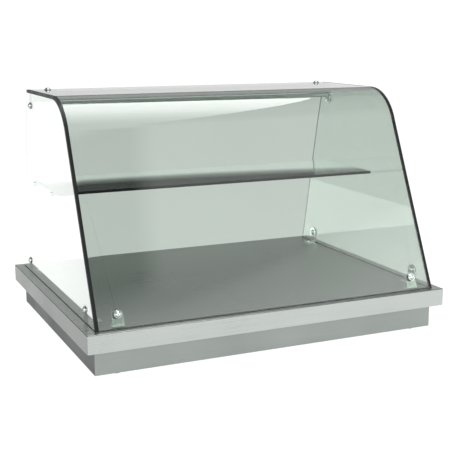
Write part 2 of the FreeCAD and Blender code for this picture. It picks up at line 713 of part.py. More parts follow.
def top_fasteners():
    """Bolts down through the top glass, the rear brackets and the tie rail."""
    stack = ("dims.washer_gauge + dims.glass_gauge + dims.gasket_gauge + dims.clip_gauge"
             " + dims.top_rail_wall + dims.nut_height + dims.thread_spare")
    bolt = domed_screw("top_bolt", "dims.head_radius", "dims.head_height", "dims.head_rim",
                       "dims.bolt_radius", stack)
    washer = ring("top_washer", "dims.washer_radius", HOLE_R, "dims.washer_gauge")
    nut = hex_nut("top_nut")
    y = f"dims.bracket_at - {HALF_D}"
    for pattern, label, z in (
            (bolt, "top_bolts", f"{GLASS_TOP} + dims.washer_gauge"),
            (washer, "top_washers", GLASS_TOP),
            (nut, "top_nuts", f"{RAIL_TOP} - dims.top_rail_wall - dims.nut_height")):
        copies(pattern, label, [(x, y, z, UP) for x in (f"-{BOLT_X}", BOLT_X)])


def clip_gaskets():
    """Thin clear pads between the clips' tabs and the glass."""
    body = new_body("clip_gasket")
    plan = new_sketch(body, "clip_gasket_plan", "XY_Plane")
    half, hole = "dims.clip_width / 2", "dims.clip_screw_up"
    low = "dims.clip_bend"
    outline(plan, [(low, f"-{half}"), (hole, f"-{half}", half, hole, "0"),
                   (f"{hole} + {half}", "0", half, hole, "0"), (hole, half), (low, half)])
    pad(body, plan, "dims.gasket_gauge")
    drill = new_sketch(body, "clip_gasket_hole", "XY_Plane")
    circles(drill, [(hole, "0")], HOLE_R)
    pocket(body, drill, "dims.gasket_gauge", reverse=True)
    copies(body, "clip_gaskets", [(*clip_point(*spot, "0", "0"), facing_out(*spot[2:]))
                                  for spot in CLIP_SPOTS.values()])


# Rear top corners

def rear_bracket(label, side):
    """Steel angle: flange under the top glass, round-ended tab down the side glass."""
    body = new_body(label)
    wall = "dims.clip_gauge"
    top = f"({RAIL_TOP} + {wall})"
    face = SIDE_FACE_X
    profile = new_sketch(body, f"{label}_profile", "XZ_Plane")
    corners = [(face, top), (f"({face} - dims.bracket_flange)", top),
               (f"({face} - dims.bracket_flange)", f"{top} - {wall}"),
               (f"({face} - {wall})", f"{top} - {wall}"),
               (f"({face} - {wall})", f"{top} - dims.bracket_drop"),
               (face, f"{top} - dims.bracket_drop")]
    outline(profile, [(f"{side} * {x}", z) for x, z in corners])
    pad(body, profile, "dims.bracket_width", midplane=True)
    gauge, low = size(wall), size(f"{top} - dims.bracket_drop")
    reach = size(f"{face} - dims.bracket_flange")
    round_edges(body, f"{label}_tab_round", "dims.bracket_width / 2 - dims.round_margin",
                lambda edge: abs(edge.BoundBox.XLength - gauge) < TOUCH
                and edge.BoundBox.ZMax < low + TOUCH and edge.BoundBox.YLength < TOUCH)
    round_edges(body, f"{label}_flange_round", "dims.clip_bend",
                lambda edge: abs(edge.BoundBox.ZLength - gauge) < TOUCH
                and abs(abs(edge.BoundBox.Center.x) - reach) < TOUCH)
    bolt = new_sketch(body, f"{label}_bolt_hole", "XY_Plane", RAIL_TOP)
    circles(bolt, [(f"{side} * {BOLT_X}", "0")], HOLE_R)
    pocket(body, bolt, wall, reverse=True)
    low_face = f"{face} - {wall}" if side > 0 else f"-{face}"
    screw = new_sketch(body, f"{label}_screw_hole", "YZ_Plane", low_face)
    circles(screw, [("0", BRACKET_SCREW_Z)], HOLE_R)
    pocket(body, screw, wall, reverse=True)
    put(body, "0", f"dims.bracket_at - {HALF_D}", "0")
    node(body, label)


def bracket_gasket(label, side):
    """Rubber sheet folded over the bracket, against the top glass and the side glass."""
    body = new_body(label)
    top = f"({GLASS_TOP} - dims.glass_gauge)"
    wall = "dims.gasket_gauge"
    face = f"({SIDE_FACE_X} + {wall})"
    low = f"{top} - {wall} - dims.bracket_screw_down - dims.washer_radius"
    profile = new_sketch(body, f"{label}_profile", "XZ_Plane")
    corners = [(face, f"{top} - dims.butt_gap"), (f"({face} - {wall})", f"{top} - dims.butt_gap"),
               (f"({face} - {wall})", top), (f"({face} - {wall} - dims.bracket_flange)", top),
               (f"({face} - {wall} - dims.bracket_flange)", f"{top} - {wall}"),
               (f"({face} - {wall})", f"{top} - {wall}"), (f"({face} - {wall})", low), (face, low)]
    outline(profile, [(f"{side} * {x}", z) for x, z in corners])
    pad(body, profile, "dims.bracket_width", midplane=True)
    bolt = new_sketch(body, f"{label}_bolt_hole", "XY_Plane", f"{top} - {wall}")
    circles(bolt, [(f"{side} * {BOLT_X}", "0")], HOLE_R)
    pocket(body, bolt, wall, reverse=True)
    low_face = f"{face} - {wall}" if side > 0 else f"-{face}"
    screw = new_sketch(body, f"{label}_screw_hole", "YZ_Plane", low_face)
    circles(screw, [("0", BRACKET_SCREW_Z)], HOLE_R)
    pocket(body, screw, wall, reverse=True)
    put(body, "0", f"dims.bracket_at - {HALF_D}", "0")
    node(body, label)


def top_rail():
    """Rectangular tube that ties the two rear brackets under the top glass."""
    half = f"({SIDE_FACE_X} - dims.clip_gauge - dims.top_rail_end_gap)"
    y = f"dims.bracket_at - {HALF_D}"
    bar = doc.addObject("Part::Box", "top_rail_bar")
    bind(bar, Length=f"2 * {half}", Width="dims.top_rail_depth", Height="dims.top_rail_height")
    put(bar, f"-{half}", f"{y} - dims.top_rail_depth / 2", f"{RAIL_TOP} - dims.top_rail_height")
    bore = doc.addObject("Part::Box", "top_rail_bore")
    bind(bore, Length=f"2 * {half}", Width="dims.top_rail_depth - 2 * dims.top_rail_wall",
         Height="dims.top_rail_height - 2 * dims.top_rail_wall")
    put(bore, f"-{half}", f"{y} - dims.top_rail_depth / 2 + dims.top_rail_wall",
        f"{RAIL_TOP} - dims.top_rail_height + dims.top_rail_wall")
    tools = [bore]
    for name, x in (("left", f"-{BOLT_X}"), ("right", BOLT_X)):
        drill = doc.addObject("Part::Cylinder", f"top_rail_hole_{name}")
        bind(drill, Radius=HOLE_R, Height="dims.top_rail_wall")
        tools.append(put(drill, x, y, f"{RAIL_TOP} - dims.top_rail_wall"))
    cuts = doc.addObject("Part::MultiFuse", "top_rail_cuts")
    cuts.Shapes = tools
    rail = doc.addObject("Part::Cut", "rear_top_rail")
    rail.Base, rail.Tool = bar, cuts
    node(rail, "rear_top_rail")


# Shelf supports. Each is made along +Z, from outside the glass inwards.

def shelf_support(place, side, y):
    """Pin through a side glass, the sleeve that the shelf rests on, and a locking collar."""
    reach = "dims.glass_gauge + dims.pin_reach"
    x = f"{side} * {GLASS_X}"
    inward = Rotation(Vector(0, 1, 0), -90 * side)
    pin = turned(f"shelf_pin_{place}", [
        ("0", "-dims.pin_cap_height"),
        ("dims.pin_cap_radius - dims.pin_cap_chamfer", "-dims.pin_cap_height"),
        ("dims.pin_cap_radius", "dims.pin_cap_chamfer - dims.pin_cap_height"),
        ("dims.pin_cap_radius", "0"),
        ("dims.pin_radius", "0"), ("dims.pin_radius", reach), ("0", reach)])
    sleeve = ring(f"shelf_sleeve_{place}", "dims.sleeve_radius", "dims.pin_radius",
                  "dims.pin_reach - dims.collar_gauge - dims.sleeve_short")
    collar = ring(f"shelf_collar_{place}", "dims.sleeve_radius", "dims.pin_radius",
                  "dims.collar_gauge")
    put(pin, x, y, PIN_Z, inward)
    put(sleeve, f"{side} * ({INNER_X} - dims.collar_gauge)", y, PIN_Z, inward)
    put(collar, f"{side} * {INNER_X}", y, PIN_Z, inward)
    node(pin, f"shelf_pin_{place}")
    node(sleeve, f"shelf_sleeve_{place}")
    return collar


def shelf_supports():
    collars = []
    for side, hand in ((-1, "left"), (1, "right")):
        for end in ("front", "rear"):
            collars.append(shelf_support(f"{hand}_{end}", side, f"dims.pin_{end} - {HALF_D}"))
    group("shelf_collars", collars)


def build():
    deck_tray()
    for end, facing in (("front", -1), ("rear", 1)):
        plinth_end_panel(f"plinth_{end}_panel", facing)
    for hand, side in (("left", -1), ("right", 1)):
        plinth_side_panel(f"plinth_{hand}_panel", side)
        deck_stiffener(f"deck_stiffener_{hand}", side)
        for end, facing in (("front", -1), ("rear", 1)):
            plinth_corner(f"plinth_corner_{end}_{hand}", side, facing)
            rubber_foot(f"foot_{end}_{hand}", side, facing)
        side_glass(f"{hand}_side_glass", side)
        side_seal(f"glass_seal_{hand}", side)
        rear_bracket(f"rear_bracket_{hand}", side)
        bracket_gasket(f"bracket_gasket_{hand}", side)
    front_glass()
    front_seal()
    shelf_glass()
    for label, spot in CLIP_SPOTS.items():
        glass_clip(label, *spot)
    clip_gaskets()
    glass_fasteners()
    deck_fasteners()
    top_fasteners()
    top_rail()
    shelf_supports()
    doc.recompute()


def check():
    """Stops before anything is written if an object has failed."""
    for thing in doc.Objects:
        if "Invalid" in thing.State or "Error" in thing.State:
            raise RuntimeError(f"{thing.Name} did not recompute: {thing.State}")
    for thing in nodes:
        if thing.Shape.isNull() or not thing.Shape.isValid():
            raise RuntimeError(f"{thing.Label} has no valid shape")


build()
check()
os.makedirs("parts", exist_ok=True)
for piece in nodes:
    piece.Shape.exportStep(f"parts/{piece.Label}.step")
print(len(nodes), "nodes written")
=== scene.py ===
import math

import bmesh
import bpy
from mathutils import Matrix, Vector


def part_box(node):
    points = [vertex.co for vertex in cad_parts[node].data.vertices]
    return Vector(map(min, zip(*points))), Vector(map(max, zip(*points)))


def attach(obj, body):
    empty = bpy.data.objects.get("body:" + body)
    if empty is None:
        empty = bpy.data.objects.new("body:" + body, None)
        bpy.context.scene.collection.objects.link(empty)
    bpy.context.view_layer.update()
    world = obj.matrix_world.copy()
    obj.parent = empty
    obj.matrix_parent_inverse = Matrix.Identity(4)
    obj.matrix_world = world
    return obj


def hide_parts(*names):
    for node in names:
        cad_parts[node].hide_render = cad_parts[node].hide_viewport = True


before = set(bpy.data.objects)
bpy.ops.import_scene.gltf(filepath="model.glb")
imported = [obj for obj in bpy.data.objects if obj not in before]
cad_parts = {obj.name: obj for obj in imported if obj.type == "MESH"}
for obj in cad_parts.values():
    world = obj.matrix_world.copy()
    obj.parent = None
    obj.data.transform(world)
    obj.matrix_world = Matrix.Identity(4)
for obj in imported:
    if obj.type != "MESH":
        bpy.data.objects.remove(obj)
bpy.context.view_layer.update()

# Sizes that the pieces are made to, in metres and radians. Places come from the frame.
MM = 0.001
LEAN = math.radians(24.8)         # slope of the front glass from upright
BEND = 105 * MM                   # outside radius of its bend
REAR_LEAN = 91 / 421              # how far the side glasses' rear edge leans forward per height
BUTT = 0.4 * MM                   # bonded joint between front and side glasses
GASKET = 1 * MM
WASHER = 0.8 * MM
STEEL = 2 * MM                    # gauge of clips and brackets
ARRIS = 0.35 * MM                 # ground edge of the glass
BORDER = 6.5 * MM                 # black border that hides the bonded joint
BOLT_HOLE = 2.8 * MM
PIN_HOLE = 2.3 * MM
CLIP_WIDTH, CLIP_TALL, CLIP_FOOT = 24 * MM, 38 * MM, 24 * MM
CLIP_SCREW_UP = 26 * MM
FOOT_SCREW = {False: 14 * MM, True: 16 * MM}
BRACKET_WIDTH, BRACKET_DROP, BRACKET_REACH = 25 * MM, 41 * MM, 50 * MM
BRACKET_BOLT, BRACKET_SCREW = 33 * MM, 26.5 * MM
HEAD_RADIUS, HEAD_HEIGHT, HEAD_RIM = 7.8 * MM, 4.6 * MM, 1.0 * MM
THREAD = 2.5 * MM                 # radius of the screws
SOCKET = 2.2 * MM                 # reach and depth of the socket in a screw head
CAP_CROWN = 1.2 * MM              # thickness of a cap nut over its bore
FOLD = 3.2 * MM                   # outside radius of the folds in clips and brackets
BRIGHTEST = 3.4                   # strongest glow of the surroundings

deck_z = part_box("deck_tray")[1].z
pane_low, pane_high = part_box("front_glass")
side_low, side_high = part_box("right_side_glass")
gauge = side_high.x - side_low.x
face_x = side_low.x - GASKET
bracket_y = sum(corner.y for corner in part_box("rear_bracket_right")) / 2
rail_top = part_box("rear_top_rail")[1].z


# Materials

def wired(name):
    """A new material with its node tree and its shader."""
    material = bpy.data.materials.new(name)
    material.use_nodes = True
    return material, material.node_tree, material.node_tree.nodes["Principled BSDF"]


def steady(shader, **values):
    """Sets what is the same all over the surface on the shader's own sockets."""
    for name, value in values.items():
        shader.inputs[name.replace("_", " ")].default_value = value


def mapped(tree, stretch=(1, 1, 1)):
    """Coordinates of the object, in metres, stretched along its axes."""
    place = tree.nodes.new("ShaderNodeTexCoord")
    mapping = tree.nodes.new("ShaderNodeMapping")
    mapping.inputs["Scale"].default_value = stretch
    tree.links.new(place.outputs["Object"], mapping.inputs["Vector"])
    return mapping.outputs["Vector"]


def noise(tree, where, scale, detail=3.0):
    """Cloudy noise, as a factor around 0.5."""
    cloud = tree.nodes.new("ShaderNodeTexNoise")
    cloud.inputs["Scale"].default_value = scale
    cloud.inputs["Detail"].default_value = detail
    tree.links.new(where, cloud.inputs["Vector"])
    return cloud.outputs["Fac"]


def spread(tree, factor, low, high, start=0.3, end=0.7):
    """Turns a factor between start and end into a number between low and high."""
    reach = tree.nodes.new("ShaderNodeMapRange")
    for name, value in (("From Min", start), ("From Max", end), ("To Min", low), ("To Max", high)):
        reach.inputs[name].default_value = value
    tree.links.new(factor, reach.inputs["Value"])
    return reach.outputs["Result"]


def blended(tree, factor, dark, light):
    """A colour between two colours, or between two colour outputs."""
    mix = tree.nodes.new("ShaderNodeMix")
    mix.data_type = "RGBA"
    tree.links.new(factor, mix.inputs["Factor"])
    for socket, colour in ((mix.inputs[6], dark), (mix.inputs[7], light)):
        if isinstance(colour, tuple):
            socket.default_value = (*colour, 1)
        else:
            tree.links.new(colour, socket)
    return mix.outputs[2]


def summed(tree, first, second, share):
    """first plus share times second."""
    add = tree.nodes.new("ShaderNodeMath")
    add.operation = "MULTIPLY_ADD"
    add.inputs[1].default_value = share
    tree.links.new(second, add.inputs[0])
    tree.links.new(first, add.inputs[2])
    return add.outputs[0]


def dented(tree, shader, height, strength, distance):
    """Bumps the surface by a height; distance is in metres."""
    bump = tree.nodes.new("ShaderNodeBump")
    bump.inputs["Strength"].default_value = strength
    bump.inputs["Distance"].default_value = distance
    tree.links.new(height, bump.inputs["Height"])
    tree.links.new(bump.outputs["Normal"], shader.inputs["Normal"])


def shaded(colour, share):
    """A colour times a number."""
    return tuple(share * part for part in colour)


def looking_along(tree, axis):
    """How squarely a face looks along an axis, either way, from 0 to 1."""
    geometry = tree.nodes.new("ShaderNodeNewGeometry")
    parts = tree.nodes.new("ShaderNodeSeparateXYZ")
    tree.links.new(geometry.outputs["Normal"], parts.inputs[0])
    size = tree.nodes.new("ShaderNodeMath")
    size.operation = "ABSOLUTE"
    tree.links.new(parts.outputs[axis], size.inputs[0])
    return size.outputs[0]


def facing_side(tree):
    """1 on faces that look along X, 0 on the others."""
    return spread(tree, looking_along(tree, "X"), 0, 1, 0.6, 0.8)


def on_folds(tree):
    """1 on the rounded folds between upright and level faces, 0 on the others."""
    level = looking_along(tree, "Z")
    both = tree.nodes.new("ShaderNodeMath")
    both.operation = "MULTIPLY"
    tree.links.new(spread(tree, level, 0, 1, 0.05, 0.2), both.inputs[0])
    tree.links.new(spread(tree, level, 1, 0, 0.9, 0.98), both.inputs[1])
    return both.outputs[0]


def grain(tree, fine=900, coarse=6):
    """Brushed lines that run along X, and along Y on the faces that look along X."""
    along_x = noise(tree, mapped(tree, (coarse, fine, fine)), 1, 4)
    along_y = noise(tree, mapped(tree, (fine, coarse, fine)), 1, 4)
    return spread(tree, blended(tree, facing_side(tree), along_x, along_y), 0, 1)


def satin_steel(name, dark, light, low, high, side=1.0, fold_shade=1.0):
    """Brushed stainless sheet: fine grain, soft cloudy smears and hairline scratches. Faces
    that look along X are brushed the other way, and the side share multiplies their colour as
    painted shade; the fold share multiplies the dark colour laid on rounded folds, a painted dark
    line of shade."""
    material, tree, shader = wired(name)
    lines = grain(tree)
    smears = noise(tree, mapped(tree), 7, 2)
    scratches = noise(tree, mapped(tree, (40, 1400, 1400)), 1, 2)
    tone = summed(tree, spread(tree, lines, 0.25, 0.75, 0, 1), spread(tree, smears, -1, 1), 0.18)
    # Painted shade: faces that look along X take the colours times the side share.
    across = blended(tree, tone, shaded(dark, side), shaded(light, side))
    colour = blended(tree, facing_side(tree), blended(tree, tone, dark, light), across)
    # Painted shade: the rounded folds take the dark colour times the fold share, a painted dark
    # line.
    tree.links.new(blended(tree, on_folds(tree), colour, shaded(dark, fold_shade)),
                   shader.inputs["Base Color"])
    rough = summed(tree, spread(tree, smears, low, high), lines, 0.06)
    tree.links.new(rough, shader.inputs["Roughness"])
    dented(tree, shader, summed(tree, lines, scratches, 0.5), 0.004, 0.2 * MM)
    steady(shader, Metallic=1.0)
    return material


def spangled_steel():
    """Galvanised sheet with its crystal pattern."""
    material, tree, shader = wired("galvanised_sheet")
    cells = tree.nodes.new("ShaderNodeTexVoronoi")
    cells.inputs["Scale"].default_value = 90
    tree.links.new(mapped(tree), cells.inputs["Vector"])
    shade = spread(tree, cells.outputs["Color"], 0, 1, 0, 1)
    tree.links.new(blended(tree, shade, (0.42, 0.44, 0.45), (0.66, 0.68, 0.69)),
                   shader.inputs["Base Color"])
    tree.links.new(spread(tree, shade, 0.32, 0.55, 0, 1), shader.inputs["Roughness"])
    dented(tree, shader, noise(tree, mapped(tree), 260), 0.08, 0.1 * MM)
    steady(shader, Metallic=1.0)
    return material


def chrome(name, dark, light, low, high):
    """Polished plating with faint wiping marks."""
    material, tree, shader = wired(name)
    marks = noise(tree, mapped(tree), 160, 4)
    tree.links.new(blended(tree, marks, dark, light),
                   shader.inputs["Base Color"])
    tree.links.new(spread(tree, marks, low, high), shader.inputs["Roughness"])
    dented(tree, shader, noise(tree, mapped(tree), 700, 2), 0.008, 0.05 * MM)
    steady(shader, Metallic=1.0)
    return material


def black_rubber():
    material, tree, shader = wired("black_rubber")
    fine = noise(tree, mapped(tree), 1500, 5)
    bloom = noise(tree, mapped(tree), 60, 3)
    tree.links.new(blended(tree, bloom, (0.012, 0.013, 0.013), (0.03, 0.032, 0.031)),
                   shader.inputs["Base Color"])
    tree.links.new(spread(tree, bloom, 0.5, 0.75), shader.inputs["Roughness"])
    dented(tree, shader, fine, 0.2, 0.1 * MM)
    return material


def clear_glass(name, dark, light, mirror=0.0):
    """Float glass with the last traces of a wipe. A coating can turn it into a mirror where
    it is looked at from a flat angle."""
    material, tree, shader = wired(name)
    wipe = noise(tree, mapped(tree, (3, 1, 1.4)), 2.2, 2)
    tree.links.new(blended(tree, wipe, dark, light), shader.inputs["Base Color"])
    tree.links.new(spread(tree, wipe, 0.0, 0.012, 0.45, 0.8), shader.inputs["Roughness"])
    if mirror:
        slant = tree.nodes.new("ShaderNodeLayerWeight")
        slant.inputs["Blend"].default_value = 0.5
        coat = spread(tree, slant.outputs["Facing"], 0.0, mirror, 0.6, 0.76)
        tree.links.new(coat, shader.inputs["Metallic"])
    steady(shader, Transmission_Weight=1.0, IOR=1.5)
    return material


def glass_edge(name, dark, light, low, high):
    """Ground and polished edge of a pane, or the black border of the front glass."""
    material, tree, shader = wired(name)
    streaks = noise(tree, mapped(tree, (60, 60, 12)), 1, 4)
    tree.links.new(blended(tree, streaks, dark, light), shader.inputs["Base Color"])
    tree.links.new(spread(tree, streaks, low, high), shader.inputs["Roughness"])
    dented(tree, shader, noise(tree, mapped(tree), 900, 3), 0.06, 0.05 * MM)
    steady(shader, IOR=1.5, Specular_IOR_Level=0.12)
    return material


def clear_sleeve():
    """Translucent plastic tube."""
    material, tree, shader = wired("clear_sleeve")
    haze = noise(tree, mapped(tree), 220, 3)
    tree.links.new(blended(tree, haze, (0.8, 0.86, 0.83), (0.93, 0.96, 0.94)),
                   shader.inputs["Base Color"])
    tree.links.new(spread(tree, haze, 0.15, 0.35), shader.inputs["Roughness"])
    steady(shader, Transmission_Weight=0.7, IOR=1.46)
    return material


# The last two numbers are painted shade: 0.45 on faces that look along X, 0.25 on the rounded
# folds.
SATIN = satin_steel("satin_sheet", (0.43, 0.46, 0.44), (0.465, 0.495, 0.475), 0.24, 0.31, 0.45,
                    0.25)
# The plinth is the same satin steel in darker colours, a painted shade for the shadowed floor it
# reflects near its foot; 0.28 is a further painted shade on faces that look along X.
PLINTH_SHADED_STEEL = satin_steel("plinth_sheet_painted_shade", (0.24, 0.265, 0.25), (0.28, 0.305, 0.29), 0.34, 0.44, 0.28)
CLIP = satin_steel("clip_sheet", (0.84, 0.88, 0.86), (0.93, 0.96, 0.94), 0.12, 0.22)
RAIL = satin_steel("rail_sheet", (0.36, 0.39, 0.38), (0.52, 0.55, 0.54), 0.24, 0.34)
GALVANISED = spangled_steel()
HEADS = chrome("screw_plate", (0.38, 0.42, 0.40), (0.48, 0.52, 0.50), 0.02, 0.08)
CHROME = chrome("chrome_plate", (0.72, 0.76, 0.74), (0.86, 0.90, 0.88), 0.02, 0.06)
# The top bolts' plating is made dark, a painted reflection that stands in for the dark band their
# heads reflect.
DARKENED_BOLT_PLATE = chrome("bolt_plate_painted_dark", (0.14, 0.17, 0.16), (0.22, 0.25, 0.24), 0.12, 0.25)
ZINC = chrome("zinc_plate", (0.72, 0.74, 0.73), (0.9, 0.92, 0.91), 0.2, 0.36)
RUBBER = black_rubber()
SLEEVE = clear_sleeve()
PADS = clear_glass("clear_pads", (0.93, 0.96, 0.95), (0.97, 0.99, 0.98))
FRONT_PANE = clear_glass("front_pane_glass", (0.43, 0.49, 0.445), (0.45, 0.51, 0.465))
SIDE_PANE = clear_glass("side_pane_glass", (0.90, 0.95, 0.91), (0.93, 0.97, 0.94), 0.75)
SHELF_PANE = clear_glass("shelf_pane_glass", (0.80, 0.86, 0.82), (0.86, 0.91, 0.88), 0.92)
DARK_EDGE = glass_edge("dark_polished_edge", (0.002, 0.005, 0.004), (0.005, 0.010, 0.008),
                       0.3, 0.5)
PALE_EDGE = glass_edge("pale_polished_edge", (0.10, 0.17, 0.14), (0.20, 0.30, 0.26), 0.12, 0.3)
BOND = glass_edge("black_bond", (0.003, 0.004, 0.004), (0.008, 0.010, 0.009), 0.3, 0.5)


# Meshes

def piece(name, bm, materials, node_names, body="case"):
    """Turns a bmesh into a piece that rides on a body and stands for its CAD nodes."""
    bmesh.ops.recalc_face_normals(bm, faces=bm.faces[:])
    mesh = bpy.data.meshes.new(name)
    bm.to_mesh(mesh)
    bm.free()
    for material in materials:
        mesh.materials.append(material)
    mesh.shade_smooth()
    thing = bpy.data.objects.new(name, mesh)
    bpy.context.scene.collection.objects.link(thing)
    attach(thing, body)
    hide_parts(*node_names)
    return thing


def eased(thing, width, segments=2):
    """Eases the sharp edges and lets the large faces set the shading."""
    bevel = thing.modifiers.new("eased_edges", "BEVEL")
    bevel.width = width
    bevel.segments = segments
    bevel.limit_method = "ANGLE"
    bevel.angle_limit = math.radians(40)
    bevel.use_clamp_overlap = False
    thing.modifiers.new("face_normals", "WEIGHTED_NORMAL")


def arc(x, y, radius, start, end, steps):
    """Points of an arc, with its angles in degrees."""
    turns = [math.radians(start + (end - start) * i / steps) for i in range(steps + 1)]
    return [(x + radius * math.cos(turn), y + radius * math.sin(turn)) for turn in turns]


def filled(bm, outline, holes=()):
    """Fills a flat outline that has round holes (x, y, radius), at height 0."""
    edges = []
    for ring in [outline] + [arc(*hole, 0, 360, 32)[:-1] for hole in holes]:
        verts = [bm.verts.new((x, y, 0)) for x, y in ring]
        edges += [bm.edges.new(pair) for pair in zip(verts, verts[1:] + verts[:1])]
    bmesh.ops.triangle_fill(bm, use_beauty=True, edges=edges, normal=(0, 0, 1))


def strips(bm, columns, starts):
    """Plain cells of a sheet, between the places in columns and the distances in starts."""
    rows = [[bm.verts.new((x, y, 0)) for x in columns] for y in starts]
    for low, high in zip(rows, rows[1:]):
        for k in range(len(columns) - 1):
            bm.faces.new((low[k], low[k + 1], high[k + 1], high[k]))


def thickened(bm, thickness, edge_slot=0):
    """Gives a flat sheet its thickness, downwards, with rims in their own material slot."""
    bmesh.ops.remove_doubles(bm, verts=bm.verts[:], dist=0.001 * MM)
    faces = bm.faces[:]
    rims = [edge.link_loops[0] for edge in bm.edges if edge.is_boundary]
    rims = [(loop.vert, loop.link_loop_next.vert) for loop in rims]
    far = {vert: bm.verts.new(vert.co - Vector((0, 0, thickness))) for vert in bm.verts[:]}
    for face in faces:
        bm.faces.new([far[vert] for vert in reversed(face.verts)])
    for start, end in rims:
        rim = bm.faces.new((end, start, far[start], far[end]))
        rim.material_index = edge_slot


def shaped(bm, place):
    """Moves every point of a sheet from its flat place (x, y, depth) to where it belongs."""
    for vert in bm.verts:
        vert.co = place(vert.co.x, vert.co.y, -vert.co.z)


# Glass

def pane_curve(inset):
    """Bend centre and radius of a line that runs inset inside the front glass's face."""
    centre_z = pane_high.z - BEND
    slope_y = pane_low.y + (centre_z - pane_low.z) * math.tan(LEAN)
    return slope_y + BEND / math.cos(LEAN), centre_z, BEND - inset


def front_pane():
    """The front glass as it is made: cut and drilled flat, then bent."""
    centre_y, centre_z, radius = pane_curve(0)
    slope_top = centre_z + radius * math.sin(LEAN)
    slope = (slope_top - pane_low.z) / math.cos(LEAN)
    turn = math.pi / 2 - LEAN
    flat = slope + radius * turn
    length = flat + pane_high.y - centre_y
    half, inner, steps = pane_high.x, pane_high.x - BORDER, 48

    def bent(x, y, depth):
        if y < slope:
            foot = Vector((x, pane_low.y, pane_low.z))
            up = Vector((0, math.sin(LEAN), math.cos(LEAN)))
            return foot + up * y + Vector((0, math.cos(LEAN), -math.sin(LEAN))) * depth
        angle = LEAN + min((y - slope) / radius, turn)
        ahead = max(y - flat, 0)
        reach = radius - depth
        return Vector((x, centre_y - reach * math.cos(angle) + ahead,
                       centre_z + reach * math.sin(angle)))

    bm = bmesh.new()
    screw_up = (deck_z + CLIP_SCREW_UP * math.cos(LEAN) - pane_low.z) / math.cos(LEAN)
    screw_up += (gauge + GASKET) * math.tan(LEAN)
    clip_x = sum(corner.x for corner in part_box("front_clip_right")) / 2
    bolt_x = face_x - BRACKET_BOLT
    filled(bm, [(-inner, 0), (inner, 0), (inner, slope), (-inner, slope)],
           [(side * clip_x, screw_up, BOLT_HOLE) for side in (-1, 1)])
    strips(bm, (-half, -inner, inner, half),
           [slope + radius * turn * i / steps for i in range(steps + 1)])
    filled(bm, [(-inner, flat), (inner, flat), (inner, length), (-inner, length)],
           [(side * bolt_x, flat + bracket_y - centre_y, BOLT_HOLE) for side in (-1, 1)])
    for side in (-1, 1):
        for run in ((0, slope), (flat, length)):
            strips(bm, sorted((side * inner, side * half)), run)
    thickened(bm, gauge, edge_slot=1)
    for face in bm.faces:
        if face.material_index == 0 and abs(face.calc_center_median().x) > inner:
            face.material_index = 2
    shaped(bm, bent)
    pane = piece("front_pane", bm, [FRONT_PANE, DARK_EDGE, BOND], ["front_glass"])
    eased(pane, ARRIS)


def side_pane(hand, side):
    """Flat end glass; its front edge follows the bend and is bonded to the front glass."""
    centre_y, centre_z, radius = pane_curve(gauge + BUTT)
    low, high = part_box(f"{hand}_side_glass")
    outline = [(low.y, low.z)]
    outline += arc(centre_y, centre_z, radius, 180 - math.degrees(LEAN), 90, 32)
    bonded = len(outline) - 1
    outline += [(high.y - REAR_LEAN * (high.z - low.z), high.z), (high.y, low.z)]
    screw_z = deck_z + CLIP_SCREW_UP
    holes = [(sum(corner.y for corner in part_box(f"{hand}_clip_{end}")) / 2, screw_z, BOLT_HOLE)
             for end in ("front", "rear")]
    holes.append((bracket_y, rail_top + STEEL - BRACKET_SCREW, BOLT_HOLE))
    for end in ("front", "rear"):
        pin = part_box(f"shelf_pin_{hand}_{end}")
        holes.append(((pin[0].y + pin[1].y) / 2, (pin[0].z + pin[1].z) / 2, PIN_HOLE))
    bm = bmesh.new()
    filled(bm, outline, holes)
    thickened(bm, gauge, edge_slot=1)
    front = outline[:bonded + 1]
    for face in bm.faces:
        middle = face.calc_center_median()
        if face.material_index and any(
                math.hypot(middle.x - (a[0] + b[0]) / 2, middle.y - (a[1] + b[1]) / 2) < MM
                for a, b in zip(front, front[1:])):
            face.material_index = 2
    shaped(bm, lambda y, z, depth: Vector((high.x - depth, y, z)))
    pane = piece(f"{hand}_side_pane", bm, [SIDE_PANE, PALE_EDGE, BOND],
                 [f"{hand}_side_glass"])
    eased(pane, ARRIS)


def shelf_pane():
    low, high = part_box("shelf_glass")
    corner = 3 * MM
    spots = [(high.x - corner, high.y - corner, 0), (low.x + corner, high.y - corner, 90),
             (low.x + corner, low.y + corner, 180), (high.x - corner, low.y + corner, 270)]
    outline = [point for x, y, turn in spots for point in arc(x, y, corner, turn, turn + 90, 8)]
    bm = bmesh.new()
    filled(bm, outline)
    thickened(bm, high.z - low.z, edge_slot=1)
    shaped(bm, lambda x, y, depth: Vector((x, y, high.z - depth)))
    pane = piece("shelf_pane", bm, [SHELF_PANE, DARK_EDGE], ["shelf_glass"],
                 "shelf")
    eased(pane, ARRIS)


# Sheet-metal angles

